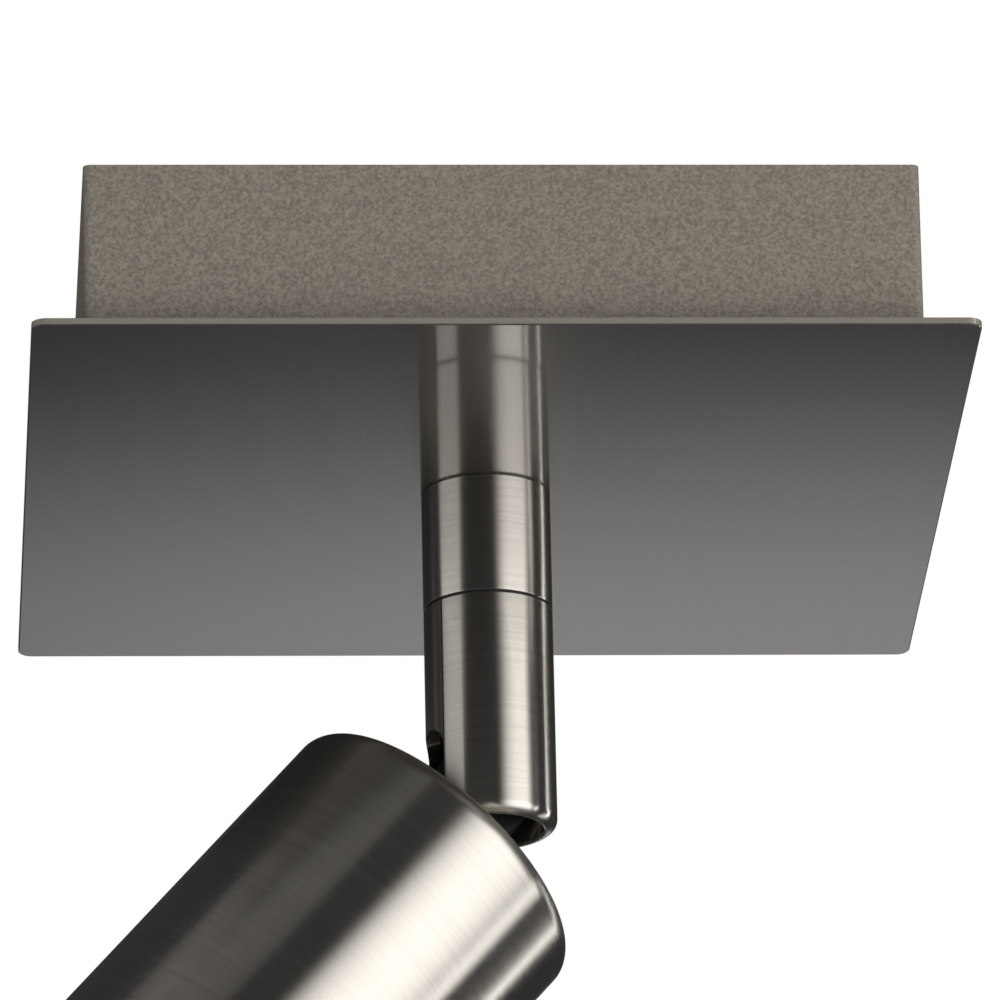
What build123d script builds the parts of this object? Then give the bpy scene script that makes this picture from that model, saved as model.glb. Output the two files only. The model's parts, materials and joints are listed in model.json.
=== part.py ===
from build123d import *
from math import atan2, cos, degrees, radians, sin
import os

# Ceiling spotlight: a square canopy and face plate, a two-part stem that swivels, and a cylindrical
# lamp head on a friction knuckle. Millimetres. The origin is the centre of the ceiling plane,
# +Z points up into the ceiling, and the whole fixture hangs below it.

# ---- stored pose, degrees
PAN = 10.0  # the knuckle slot is turned from -X towards -Y
TILT = 41.2  # the head axis is turned away from straight down

# ---- canopy and face plate
CANOPY_SIDE = 133.0
CANOPY_DEPTH = 29.6
CANOPY_SHEET = 1.0
CANOPY_CORNER = 1.2
PLATE_SIDE = 150.0
PLATE_THICK = 1.2
PLATE_CORNER = 2.3
PLATE_EDGE_CHAMFER = 0.2
STUD_SPACING = 100.0
STUD_RADIUS = 2.0
STUD_LENGTH = 8.0

# ---- ceiling bracket
BRACKET_WIDTH = 25.0
BRACKET_SHEET = 1.5
BRACKET_LENGTH = 130.4
BRACKET_DROP = 14.0
SLOT_SPACING = 88.9
SLOT_LENGTH = 14.0
SLOT_WIDTH = 4.8
SUPPLY_HOLE_RADIUS = 9.0
SIDE_SCREW_DROP = 8.0
SIDE_SCREW_HOLE_RADIUS = 2.2
CLINCH_SLEEVE_RADIUS = 2.9

# ---- connector and earth terminal under the bracket
BLOCK_X = -23.5
BLOCK_SIZE = 17.0
BLOCK_HEIGHT = 13.0
POLE_Y = 4.5
POLE_SCREW_X = 4.5
POLE_SCREW_RADIUS = 1.4
BARREL_RADIUS = 2.6
BARREL_BORE = 1.5
EARTH_X = 26.0
LEAD_RADIUS = 0.7
LEAD_SPREAD = 1.9

# ---- stem
STEM_RADIUS = 10.5
STEM_BORE = 8.2
UPPER_LENGTH = 20.1
UPPER_FLOOR = 4.0
SWIVEL_GAP = 0.4
SWIVEL_EDGE_ROUND = 0.2
LOWER_LENGTH = 37.5
LOWER_FLOOR = 3.0
STEM_TOP_CHAMFER = 0.3
STEM_END_ROUND = 1.9
NIPPLE_RADIUS = 5.0
NIPPLE_BORE = 3.5
THREAD_CLEARANCE = 0.1
RUNNING_CLEARANCE = 0.06
STOP_PIN_RADIUS = 0.75
STOP_PIN_CIRCLE = 7.6
STOP_PIN_SINK = 2.5
STOP_PIN_REACH = 1.5
STOP_TRACK_HALF_WIDTH = 0.9
STOP_TRACK_DEPTH = 1.8
STOP_LUG_HALF_ANGLE = 6.0
SPRING_THICK = 0.7
SWIVEL_NUT_HEIGHT = 4.2

# ---- knuckle
PIVOT_ABOVE_STEM_END = 6.0
KNUCKLE_SLOT_WIDTH = 10.5
KNUCKLE_SLOT_ABOVE_PIVOT = 10.1
KNUCKLE_SLOT_CORNER = 3.6
CHEEK_INNER = 4.1
CHEEK_THICK = 1.4
CHEEK_HALF_LENGTH = 4.6
FORK_ABOVE_PIVOT = 13.3
FORK_PLUG = 6.0
SET_SCREW_RADIUS = 1.5
KNUCKLE_HALF_WIDTH = 3.5
HUB_RADIUS = 6.4
SHIELD_RADIUS = 9.9
PIVOT_RADIUS = 1.5
PIN_GAP_X = 2.25  # the leads pass beside the pivot, this far from the head axis
POLE_GAP_Y = 0.8
SHANK_RADIUS = 5.0
SHANK_BORE = 3.4
SHANK_LENGTH = 8.0
COLLAR_RADIUS = 6.2
COLLAR_THICK = 2.0

# ---- lamp head, lengths measured along the head axis from its rear face
PIVOT_TO_REAR = 13.2
HEAD_RADIUS = 27.5
HEAD_LENGTH = 98.0
HEAD_WALL = 1.0
HEAD_REAR_ROUND = 3.3
HOLDER_RADIUS = 15.0
HOLDER_BACK = 19.0
HOLDER_FRONT = 38.0
HOLDER_SCREW_X = 11.5
HOLDER_SCREW_RECESS = 2.4
PIN_CIRCLE = 5.0
LAMP_TWIST = 20.0
LAMP_BACK = 38.1
LAMP_FRONT = 88.1
LAMP_RADIUS = 24.9
GROOVES = 16
CAP_RADIUS = 12.2
CONE_RADIUS = 23.7
LENS_RADIUS = 22.9
BRACKET_LEG_X = 14.2
LEG_SHEET = 0.8
EYELET_THICK = 1.8
RIVET_RADIUS = 1.2
EARTH_TAG_DEPTH = 11.8

# ---- heights that follow from the lengths above
CANOPY_FLOOR = CANOPY_SHEET - CANOPY_DEPTH
PLATE_UNDER = -CANOPY_DEPTH - PLATE_THICK
UPPER_END = PLATE_UNDER - UPPER_LENGTH
LOWER_TOP = UPPER_END - SWIVEL_GAP
LOWER_CEILING = LOWER_TOP - LOWER_FLOOR
STEM_END = LOWER_TOP - LOWER_LENGTH
PIVOT_Z = STEM_END + PIVOT_ABOVE_STEM_END
NIPPLE_TOP = CANOPY_FLOOR + 7.0
NIPPLE_END = LOWER_CEILING - 6.2
STRIP_UNDER = -BRACKET_SHEET
BLOCK_UNDER = STRIP_UNDER - BLOCK_HEIGHT
BLOCK_LEFT = BLOCK_X - BLOCK_SIZE / 2
WIRE_Z = STRIP_UNDER - 7.5
FIXING_SEAT = BLOCK_UNDER + 1.9
EARTH_WASHER_TOP = STRIP_UNDER - 2 * LEAD_RADIUS
FORK_UNDER = PIVOT_Z + FORK_ABOVE_PIVOT
FORK_TOP = FORK_UNDER + FORK_PLUG
FORK_MIDDLE = (FORK_TOP + FORK_UNDER) / 2
CHEEK_OUTER = CHEEK_INNER + CHEEK_THICK

SWIVEL = Rot(0, 0, PAN)
HEAD = SWIVEL * Pos(0, 0, PIVOT_Z) * Rot(0, TILT, 0)


# ---------------------------------------------------------------- shared shapes
def disc(radius, top, bottom, x=0.0, y=0.0):
    """An upright cylinder between two heights."""
    return Pos(x, y, (top + bottom) / 2) * Cylinder(radius, top - bottom)


def ring(outer, inner, top, bottom, x=0.0, y=0.0):
    """An upright tube between two heights."""
    return disc(outer, top, bottom, x, y) - disc(inner, top + 1, bottom - 1, x, y)


def block(x_size, y_size, top, bottom, x=0.0, y=0.0):
    """A box between two heights."""
    return Pos(x, y, (top + bottom) / 2) * Box(x_size, y_size, top - bottom)


def across(radius, length, x=0.0, y=0.0, z=0.0):
    """A cylinder that lies along Y, centred on a point."""
    return Pos(x, y, z) * Rot(90, 0, 0) * Cylinder(radius, length)


def hex_nut(flats, bore, top, bottom):
    """A nut on the Z axis with its corners turned down at both ends."""
    prism = Pos(0, 0, bottom) * extrude(RegularPolygon(flats / 2, 6, major_radius=False), top - bottom)
    turned = disc(flats * 0.57, top, bottom)
    turned = chamfer(turned.edges().filter_by(GeomType.CIRCLE), flats * 0.045)
    return (prism & turned) - disc(bore, top + 1, bottom - 1)


def tooth_washer(outer, inner, top, bottom, teeth=12):
    """A lock washer with notches round its rim."""
    notch = disc(outer * 0.11, top + 1, bottom - 1, x=outer)
    washer = ring(outer, inner, top, bottom)
    for turn in range(teeth):
        washer -= Rot(0, 0, 360 * turn / teeth) * notch
    return washer


def pan_screw(radius, head_radius, head_height, length):
    """A cross-recessed screw: the head stands on Z = 0 and the shank runs down from it."""
    head = disc(head_radius, head_height, 0)
    head = fillet(head.edges().filter_by(GeomType.CIRCLE).sort_by(Axis.Z)[-1], head_height * 0.45)
    recess = Pos(0, 0, head_height) * Box(head_radius * 1.1, head_radius * 0.3, head_height)
    recess += Rot(0, 0, 90) * recess
    shank = disc(radius, 0, -length)
    shank = chamfer(shank.edges().filter_by(GeomType.CIRCLE).sort_by(Axis.Z)[0], radius * 0.3)
    return head + shank - recess


def lead(points, bends):
    """An insulated conductor: straight runs joined by arcs."""
    path = FilletPolyline(*points, radius=bends)
    section = Plane(origin=path @ 0, z_dir=path % 0) * Circle(LEAD_RADIUS)
    return sweep(section, path=path)


def pie(radius, start, end, half_width):
    """A slice about the Y axis. Angles run from straight down towards -X."""

    def rim(angle):
        return (-radius * sin(radians(angle)), -radius * cos(radians(angle)))

    arc = ThreePointArc(rim(start), rim((start + end) / 2), rim(end))
    outline = arc + Line(arc @ 1, (0, 0)) + Line((0, 0), arc @ 0)
    return extrude(make_face(Plane.XZ * outline), half_width, both=True)


def behind(distance):
    """Height, in the head's own frame, of a point that far in front of the head's rear face."""
    return -(PIVOT_TO_REAR + distance)


def save(name, shape, place=Location()):
    """Writes one named piece, moved from its own frame to the fixture's."""
    placed = [place * solid for solid in shape.solids()]
    export_step(placed[0] if len(placed) == 1 else Compound(children=placed), f"parts/{name}.step")


# ---------------------------------------------------------------- canopy
def side_bore(radius, length):
    """A cylinder along X on the line of the canopy's two side screws."""
    return Pos(0, 0, -SIDE_SCREW_DROP) * Rot(0, 90, 0) * Cylinder(radius, length)


def canopy_box():
    """A drawn sheet box, open against the ceiling."""
    outer = extrude(RectangleRounded(CANOPY_SIDE, CANOPY_SIDE, CANOPY_CORNER), -CANOPY_DEPTH)
    inner_side = CANOPY_SIDE - 2 * CANOPY_SHEET
    inner = extrude(
        RectangleRounded(inner_side, inner_side, CANOPY_CORNER - CANOPY_SHEET), CANOPY_FLOOR
    )
    box = outer - inner
    box -= disc(NIPPLE_RADIUS + THREAD_CLEARANCE, 0, -CANOPY_DEPTH - 1)
    for x, y in stud_places():
        box -= disc(STUD_RADIUS + THREAD_CLEARANCE, 0, -CANOPY_DEPTH - 1, x, y)
    return box - side_bore(SIDE_SCREW_HOLE_RADIUS, CANOPY_SIDE + 2)


def stud_places():
    half = STUD_SPACING / 2
    return [(-half, -half), (half, -half), (-half, half), (half, half)]


def face_plate():
    """The square brushed plate that the canopy stands on."""
    plate = Pos(0, 0, PLATE_UNDER) * extrude(
        RectangleRounded(PLATE_SIDE, PLATE_SIDE, PLATE_CORNER), PLATE_THICK
    )
    plate = chamfer(plate.faces().sort_by(Axis.Z)[0].edges(), PLATE_EDGE_CHAMFER)
    return plate - disc(NIPPLE_RADIUS + THREAD_CLEARANCE, 0, PLATE_UNDER - 1)


def plate_studs():
    """Studs welded on the plate, which stand up through the canopy floor."""
    tip = -CANOPY_DEPTH + STUD_LENGTH
    stud = disc(STUD_RADIUS, tip, -CANOPY_DEPTH)
    stud = chamfer(stud.edges().sort_by(Axis.Z)[-1], 0.4)
    return Compound([Pos(x, y, 0) * stud for x, y in stud_places()])


def plate_nuts():
    nut = hex_nut(7.0, STUD_RADIUS, CANOPY_FLOOR + 3.8, CANOPY_FLOOR + 0.8)
    flange = ring(4.4, STUD_RADIUS, CANOPY_FLOOR + 0.8, CANOPY_FLOOR)
    return Compound([Pos(x, y, 0) * (nut + flange) for x, y in stud_places()])


# ---------------------------------------------------------------- ceiling bracket and wiring
def ceiling_bracket():
    """A strip of sheet with both ends turned down, screwed to the ceiling."""
    strip = block(BRACKET_LENGTH, BRACKET_WIDTH, 0, -BRACKET_DROP)
    strip = fillet(strip.edges().filter_by(Axis.Y).group_by(Axis.Z)[-1], 2.5)
    hollow = block(BRACKET_LENGTH - 2 * BRACKET_SHEET, BRACKET_WIDTH + 2, STRIP_UNDER, -BRACKET_DROP - 5)
    hollow = fillet(hollow.edges().filter_by(Axis.Y).group_by(Axis.Z)[-1], 1.0)
    strip -= hollow
    strip = fillet(strip.edges().filter_by(Axis.X).group_by(Axis.Z)[0], 4.0)
    for side in (-1, 1):
        slot = SlotOverall(SLOT_LENGTH, SLOT_WIDTH)
        strip -= Pos(side * SLOT_SPACING / 2, 0, STRIP_UNDER - 1) * extrude(slot, BRACKET_SHEET + 2)
    strip -= disc(SUPPLY_HOLE_RADIUS, 1, STRIP_UNDER - 1)
    strip -= disc(1.5, 1, STRIP_UNDER - 1, x=BLOCK_X)
    strip -= disc(2.0, 1, STRIP_UNDER - 1, x=EARTH_X)
    return strip - side_bore(CLINCH_SLEEVE_RADIUS, BRACKET_LENGTH + 2)


def bracket_nuts():
    """Clinch nuts pressed into the bracket's ears."""
    nuts = []
    for side in (-1, 1):
        face = BRACKET_LENGTH / 2
        sleeve = ring(CLINCH_SLEEVE_RADIUS, 2.0, face - 0.2, face - BRACKET_SHEET)
        body = ring(4.0, 2.0, face - BRACKET_SHEET, face - BRACKET_SHEET - 3.0)
        nuts.append(Pos(0, 0, -SIDE_SCREW_DROP) * Rot(0, side * 90, 0) * (sleeve + body))
    return Compound(nuts)


def canopy_screws():
    screw = pan_screw(2.0, head_radius=3.7, head_height=2.3, length=8.0)
    place = Pos(0, 0, -SIDE_SCREW_DROP)
    outside = CANOPY_SIDE / 2
    return Compound([place * Rot(0, side * 90, 0) * Pos(0, 0, outside) * screw for side in (-1, 1)])


def terminal_block():
    """A moulded two-pole connector under the bracket strip."""
    body = block(BLOCK_SIZE, BLOCK_SIZE, STRIP_UNDER, BLOCK_UNDER, x=BLOCK_X)
    body = fillet(body.edges().filter_by(Axis.Z), 1.2)
    body = chamfer(body.edges().group_by(Axis.Z)[0], 0.8)
    body -= block(3.0, 4.0, BLOCK_UNDER + 4, BLOCK_UNDER - 1, BLOCK_X, BLOCK_SIZE / 2)
    body -= block(3.0, 4.0, BLOCK_UNDER + 4, BLOCK_UNDER - 1, BLOCK_X, -BLOCK_SIZE / 2)
    for y in (-POLE_Y, POLE_Y):
        body -= Pos(BLOCK_X, y, WIRE_Z) * Rot(0, 90, 0) * Cylinder(BARREL_RADIUS, BLOCK_SIZE + 2)
        for x in (-POLE_SCREW_X, POLE_SCREW_X):
            body -= disc(POLE_SCREW_RADIUS + 0.1, WIRE_Z, BLOCK_UNDER - 1, BLOCK_X + x, y)
    body -= disc(1.6, 1, BLOCK_UNDER - 1, x=BLOCK_X)
    return body - disc(2.9, FIXING_SEAT, BLOCK_UNDER - 1, x=BLOCK_X)


def terminal_barrels():
    """Brass tubes that clamp the conductors."""
    barrels = []
    tube = Rot(0, 90, 0) * ring(BARREL_RADIUS, BARREL_BORE, 7.0, -7.0)
    for x in (-POLE_SCREW_X, POLE_SCREW_X):
        tube -= disc(POLE_SCREW_RADIUS, 0, -4, x)
    for y in (-POLE_Y, POLE_Y):
        barrels.append(Pos(BLOCK_X, y, WIRE_Z) * tube)
    return Compound(barrels)


def terminal_screws():
    screw = disc(POLE_SCREW_RADIUS, WIRE_Z - 1.1, BLOCK_UNDER + 1.2)
    screw -= block(3.0, 0.5, BLOCK_UNDER + 1.9, BLOCK_UNDER)
    places = [(x, y) for x in (-POLE_SCREW_X, POLE_SCREW_X) for y in (-POLE_Y, POLE_Y)]
    return Compound([Pos(BLOCK_X + x, y, 0) * screw for x, y in places])


def terminal_fixing_screw():
    screw = Rot(180, 0, 0) * pan_screw(1.5, head_radius=2.8, head_height=1.8, length=-FIXING_SEAT)
    return Pos(BLOCK_X, 0, FIXING_SEAT) * screw


def earth_washer():
    """A square cup that holds the earth conductor against the bracket."""
    top = EARTH_WASHER_TOP
    cup = block(9.0, 9.0, top, top - 0.9, x=EARTH_X)
    for y in (-4.2, 4.2):
        cup += block(9.0, 0.6, top + 0.9, top, EARTH_X, y)
    return cup - disc(2.0, top + 1, top - 2, x=EARTH_X)


def earth_screw():
    screw = Rot(180, 0, 0) * pan_screw(2.0, head_radius=3.6, head_height=2.2, length=3.8)
    return Pos(EARTH_X, 0, EARTH_WASHER_TOP - 0.9) * screw


def pole_lead(side):
    """From one pole of the connector, under it, and down through the nipple."""
    y_in = side * LEAD_SPREAD
    route = [
        (BLOCK_LEFT + 2, side * POLE_Y, WIRE_Z),
        (BLOCK_LEFT - 8, side * POLE_Y, WIRE_Z),
        (BLOCK_LEFT - 10, side * POLE_Y, WIRE_Z - 9),
        (BLOCK_X - 5, side * 3.6, WIRE_Z - 12),
        (-11, side * 2.4, WIRE_Z - 9),
        (-2.4, y_in, WIRE_Z - 2.6),
        (0, y_in, WIRE_Z - 8),
        (0, y_in, NIPPLE_END),
    ]
    return lead(route, [3.6, 4.5, 9.0, 9.0, 2.2, 3.0])


def earth_lead():
    """From under the earth washer down through the nipple."""
    route = [
        (EARTH_X, 2.9, STRIP_UNDER - LEAD_RADIUS),
        (13, 2.9, STRIP_UNDER - LEAD_RADIUS),
        (4.5, 1.0, STRIP_UNDER - 5.5),
        (0, 0, STRIP_UNDER - 13),
        (0, 0, NIPPLE_END),
    ]
    return lead(route, [7.0, 5.0, 5.0])


# ---------------------------------------------------------------- stem
def threaded_nipple():
    nipple = ring(NIPPLE_RADIUS, NIPPLE_BORE, NIPPLE_TOP, NIPPLE_END)
    return chamfer(nipple.edges().filter_by(GeomType.CIRCLE).group_by(SortBy.RADIUS)[-1], 0.4)


def nipple_bush():
    """A plastic lip that keeps the conductors off the nipple's sharp end."""
    lip = disc(6.0, NIPPLE_TOP + 1.2, NIPPLE_TOP)
    lip = fillet(lip.edges().filter_by(GeomType.CIRCLE).sort_by(Axis.Z)[-1], 0.8)
    sleeve = disc(NIPPLE_BORE, NIPPLE_TOP, NIPPLE_TOP - 5)
    return lip + sleeve - disc(NIPPLE_BORE - 0.6, NIPPLE_TOP + 2, NIPPLE_TOP - 6)


def nipple_washer():
    return tooth_washer(8.5, NIPPLE_RADIUS, CANOPY_FLOOR + 0.9, CANOPY_FLOOR)


def nipple_nut():
    return hex_nut(14.0, NIPPLE_RADIUS, CANOPY_FLOOR + 4.9, CANOPY_FLOOR + 0.9)


def stem_upper():
    """The fixed half of the stem: a cup that screws onto the nipple and clamps the plate."""
    cup = disc(STEM_RADIUS, PLATE_UNDER, UPPER_END)
    cup = chamfer(cup.edges().sort_by(Axis.Z)[-1], STEM_TOP_CHAMFER)
    cup = fillet(cup.edges().sort_by(Axis.Z)[0], SWIVEL_EDGE_ROUND)
    cup -= disc(STEM_BORE, PLATE_UNDER + 1, UPPER_END + UPPER_FLOOR)
    cup -= disc(NIPPLE_RADIUS, PLATE_UNDER, UPPER_END - 1)
    return cup - disc(STOP_PIN_RADIUS, UPPER_END + STOP_PIN_SINK, UPPER_END - 1, x=STOP_PIN_CIRCLE)


def stop_pin():
    top, bottom = UPPER_END + STOP_PIN_SINK, LOWER_TOP - STOP_PIN_REACH
    return disc(STOP_PIN_RADIUS, top, bottom, x=STOP_PIN_CIRCLE)


def swivel_washer():
    """The dark friction ring between the two halves of the stem."""
    washer = ring(STEM_RADIUS - 0.7, NIPPLE_RADIUS + RUNNING_CLEARANCE, UPPER_END, LOWER_TOP)
    return washer - disc(STOP_PIN_RADIUS, UPPER_END + 1, LOWER_TOP - 1, x=STOP_PIN_CIRCLE)


def swivel_spring():
    """The wave washer that loads the swivel, drawn flat as it is when tightened."""
    return ring(7.4, NIPPLE_RADIUS + RUNNING_CLEARANCE, LOWER_CEILING, LOWER_CEILING - SPRING_THICK)


def swivel_nut():
    top = LOWER_CEILING - SPRING_THICK
    return hex_nut(13.6, NIPPLE_RADIUS, top, top - SWIVEL_NUT_HEIGHT)


def stem_lower():
    """The turning half of the stem: a tube with a floor at the top, slotted for the knuckle."""
    tube = disc(STEM_RADIUS, LOWER_TOP, STEM_END)
    tube = fillet(tube.edges().sort_by(Axis.Z)[-1], SWIVEL_EDGE_ROUND)
    tube = fillet(tube.edges().sort_by(Axis.Z)[0], STEM_END_ROUND)
    tube -= disc(STEM_BORE, LOWER_CEILING, STEM_END - 1)
    tube -= disc(NIPPLE_RADIUS + RUNNING_CLEARANCE, LOWER_TOP + 1, LOWER_CEILING - 1)
    slot_top = PIVOT_Z + KNUCKLE_SLOT_ABOVE_PIVOT
    slot_height = slot_top - STEM_END + 2 * KNUCKLE_SLOT_CORNER
    outline = Pos(0, slot_top - slot_height / 2) * RectangleRounded(
        KNUCKLE_SLOT_WIDTH, slot_height, KNUCKLE_SLOT_CORNER
    )
    tube -= extrude(Plane.YZ * outline, -2 * STEM_RADIUS)
    tube -= swivel_groove()
    set_screw_hole = Pos(STEM_RADIUS, 0, FORK_MIDDLE) * Rot(0, 90, 0) * Cylinder(SET_SCREW_RADIUS, 8.0)
    return tube - set_screw_hole


def swivel_groove():
    """The round track of the stop pin, with the lug that ends it left standing."""
    outer = STOP_PIN_CIRCLE + STOP_TRACK_HALF_WIDTH
    inner = STOP_PIN_CIRCLE - STOP_TRACK_HALF_WIDTH
    track = ring(outer, inner, LOWER_TOP + 1, LOWER_TOP - STOP_TRACK_DEPTH)
    wedge = Pos(0, 0, LOWER_TOP) * Rot(-90, 0, 0) * pie(
        2 * STEM_RADIUS, 90 - STOP_LUG_HALF_ANGLE, 90 + STOP_LUG_HALF_ANGLE, 4.0
    )
    return track - Rot(0, 0, -PAN) * wedge


# ---------------------------------------------------------------- knuckle, swivel side
def tilt_fork():
    """A cast plug held in the tube by a set screw, with two cheeks that carry the pivot."""
    plug = ring(STEM_BORE, 3.6, FORK_TOP, FORK_UNDER)
    cheek = block(2 * CHEEK_HALF_LENGTH, CHEEK_THICK, FORK_UNDER, PIVOT_Z)
    cheek += across(CHEEK_HALF_LENGTH, CHEEK_THICK, z=PIVOT_Z)
    cheek -= across(PIVOT_RADIUS, 2 * CHEEK_THICK, z=PIVOT_Z)
    middle = (CHEEK_INNER + CHEEK_OUTER) / 2
    fork = plug + Pos(0, -middle, 0) * cheek + Pos(0, middle, 0) * cheek
    return fork - Pos(STEM_BORE, 0, FORK_MIDDLE) * Rot(0, 90, 0) * Cylinder(SET_SCREW_RADIUS, 6.0)


def fork_set_screw():
    start, end = STEM_BORE - 3.0, STEM_RADIUS - 0.4
    screw = Pos((start + end) / 2, 0, FORK_MIDDLE) * Rot(0, 90, 0) * Cylinder(SET_SCREW_RADIUS, end - start)
    socket = Pos(end, 0, FORK_MIDDLE) * Rot(0, 90, 0) * extrude(RegularPolygon(0.8, 6), 1.4, both=True)
    return screw - socket


def pivot_screw():
    """The screw that the knuckle turns on, its head inside the tube on the -Y side."""
    length = 2 * CHEEK_OUTER + 2.0
    screw = pan_screw(PIVOT_RADIUS, head_radius=2.6, head_height=1.5, length=length)
    return Pos(0, -CHEEK_OUTER, PIVOT_Z) * Rot(90, 0, 0) * screw


def pivot_nut():
    nut = hex_nut(5.4, PIVOT_RADIUS, 0, -1.8)
    return Pos(0, CHEEK_OUTER, PIVOT_Z) * Rot(90, 0, 0) * nut


def pivot_washers():
    """Friction washers between the knuckle and the cheeks."""
    thick = CHEEK_INNER - KNUCKLE_HALF_WIDTH
    washer = across(4.3, thick) - across(PIVOT_RADIUS, 2 * thick)
    y = (CHEEK_INNER + KNUCKLE_HALF_WIDTH) / 2
    return Compound([Pos(0, side * y, PIVOT_Z) * washer for side in (-1, 1)])


def swivel_leads():
    """The stretch of each conductor between the nipple and the knuckle."""
    top, bottom = NIPPLE_END - 0.3, PIVOT_Z + 10.4
    return [disc(LEAD_RADIUS, top, bottom, 1.6, side * LEAD_SPREAD) for side in (-1, 0, 1)]


# ---------------------------------------------------------------- knuckle, head side
def tilt_knuckle():
    """The black arm: a hub on the pivot, a shield that fills the slot, and a hollow threaded shank."""
    hub = across(HUB_RADIUS, 2 * KNUCKLE_HALF_WIDTH) + pie(SHIELD_RADIUS, -20, 94, KNUCKLE_HALF_WIDTH)
    neck = disc(4.6, -4, behind(-COLLAR_THICK))
    neck &= Box(12, 2 * KNUCKLE_HALF_WIDTH, 60)
    collar = disc(COLLAR_RADIUS, behind(-COLLAR_THICK), behind(0))
    collar = fillet(collar.edges().sort_by(Axis.Z)[-1], 0.6)
    shank = disc(SHANK_RADIUS, behind(0), behind(SHANK_LENGTH))
    shank = chamfer(shank.edges().sort_by(Axis.Z)[0], 0.4)
    arm = hub + neck + collar + shank
    arm -= across(4.8, 4.0)
    arm -= pie(HUB_RADIUS + 1, 100, 230, 2.0)
    arm -= disc(SHANK_BORE, -2, behind(0)) & Box(20, 4.0, 2 * PIVOT_TO_REAR)
    arm -= disc(SHANK_BORE, behind(-COLLAR_THICK), behind(SHANK_LENGTH + 1))
    return arm - across(PIVOT_RADIUS + RUNNING_CLEARANCE, 20)


def head_leads():
    """The stretch of each pole's conductor from the knuckle to the lamp holder."""
    top, bottom = 3.6, behind(HOLDER_BACK)
    return [disc(LEAD_RADIUS, top, bottom, -PIN_GAP_X, side * POLE_GAP_Y) for side in (-1, 1)]


def head_earth_lead():
    """From the knuckle to the tag on the holder bracket."""
    tag_z = behind(EARTH_TAG_DEPTH)
    route = [(PIN_GAP_X, 0, 3.4), (PIN_GAP_X, 0, behind(8.4)), (9.5, 0, tag_z)]
    return lead([*route, (BRACKET_LEG_X - EYELET_THICK, 0, tag_z)], [3.0, 2.6])


# ---------------------------------------------------------------- lamp head
def lamp_housing():
    """A deep-drawn can with a rounded rear edge."""
    can = disc(HEAD_RADIUS, behind(0), behind(HEAD_LENGTH))
    can = fillet(can.edges().sort_by(Axis.Z)[-1], HEAD_REAR_ROUND)
    hollow = disc(HEAD_RADIUS - HEAD_WALL, behind(HEAD_WALL), behind(HEAD_LENGTH + 5))
    hollow = fillet(hollow.edges().sort_by(Axis.Z)[-1], HEAD_REAR_ROUND - HEAD_WALL)
    can -= hollow
    can = fillet(can.edges().filter_by(GeomType.CIRCLE).group_by(Axis.Z)[0], 0.35)
    return can - disc(SHANK_RADIUS + THREAD_CLEARANCE, 0, behind(HEAD_WALL + 1))


def socket_bracket():
    """A strip bent to a U behind the lamp holder, with its ends turned in."""
    outer = BRACKET_LEG_X + LEG_SHEET
    top, bottom = behind(HEAD_WALL), behind(HOLDER_BACK)
    bracket = block(2 * outer, 12.0, top, bottom)
    bracket = fillet(bracket.edges().filter_by(Axis.Y), 1.4)
    hollow = block(2 * BRACKET_LEG_X, 14.0, top - LEG_SHEET, bottom + LEG_SHEET)
    bracket -= fillet(hollow.edges().filter_by(Axis.Y), 0.6)
    bracket -= block(2 * (HOLDER_SCREW_X - 3.6), 14.0, bottom + 2, bottom - 1)
    bracket -= disc(SHANK_RADIUS + THREAD_CLEARANCE, top + 1, top - LEG_SHEET - 1)
    bracket -= Pos(BRACKET_LEG_X, 0, behind(EARTH_TAG_DEPTH)) * Rot(0, 90, 0) * Cylinder(RIVET_RADIUS, 4)
    for side in (-1, 1):
        bracket -= disc(1.5, bottom + 2, bottom - 1, x=side * HOLDER_SCREW_X)
    return bracket


def shank_washer():
    top = behind(HEAD_WALL + LEG_SHEET)
    return tooth_washer(8.5, SHANK_RADIUS, top, top - 0.9)


def shank_nut():
    top = behind(HEAD_WALL + LEG_SHEET) - 0.9
    return hex_nut(14.0, SHANK_RADIUS, top, top - 4.0)


def earth_tag_rivet():
    """The rivet that joins the earth conductor's eyelet to the bracket's leg."""
    inner_face, outer_face = BRACKET_LEG_X, BRACKET_LEG_X + LEG_SHEET
    rivet = disc(2.4, inner_face, inner_face - EYELET_THICK)
    rivet += disc(RIVET_RADIUS, outer_face, inner_face)
    rivet += disc(2.0, outer_face + 0.7, outer_face)
    return Pos(0, 0, behind(EARTH_TAG_DEPTH)) * Rot(0, 90, 0) * rivet


def bayonet_holes():
    """Keyhole openings for two flanged pins: round where the pins go in, narrow where they lock."""
    top, bottom = behind(HOLDER_FRONT - 3.0), behind(HOLDER_FRONT + 1)
    holes = []
    for start in (90, 270):
        lock = Rot(0, 0, start) * disc(1.85, top, bottom, x=PIN_CIRCLE)
        entry = Rot(0, 0, start - LAMP_TWIST) * disc(2.75, top, bottom, x=PIN_CIRCLE)
        track = ring(PIN_CIRCLE + 1.85, PIN_CIRCLE - 1.85, top, bottom)
        lane = Pos(0, 0, (top + bottom) / 2) * Rot(-90, 0, 0) * pie(9.0, 90, 90 + LAMP_TWIST, top - bottom)
        holes += [lock, entry, track & (Rot(0, 0, start - 180) * lane)]
    return holes


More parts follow.
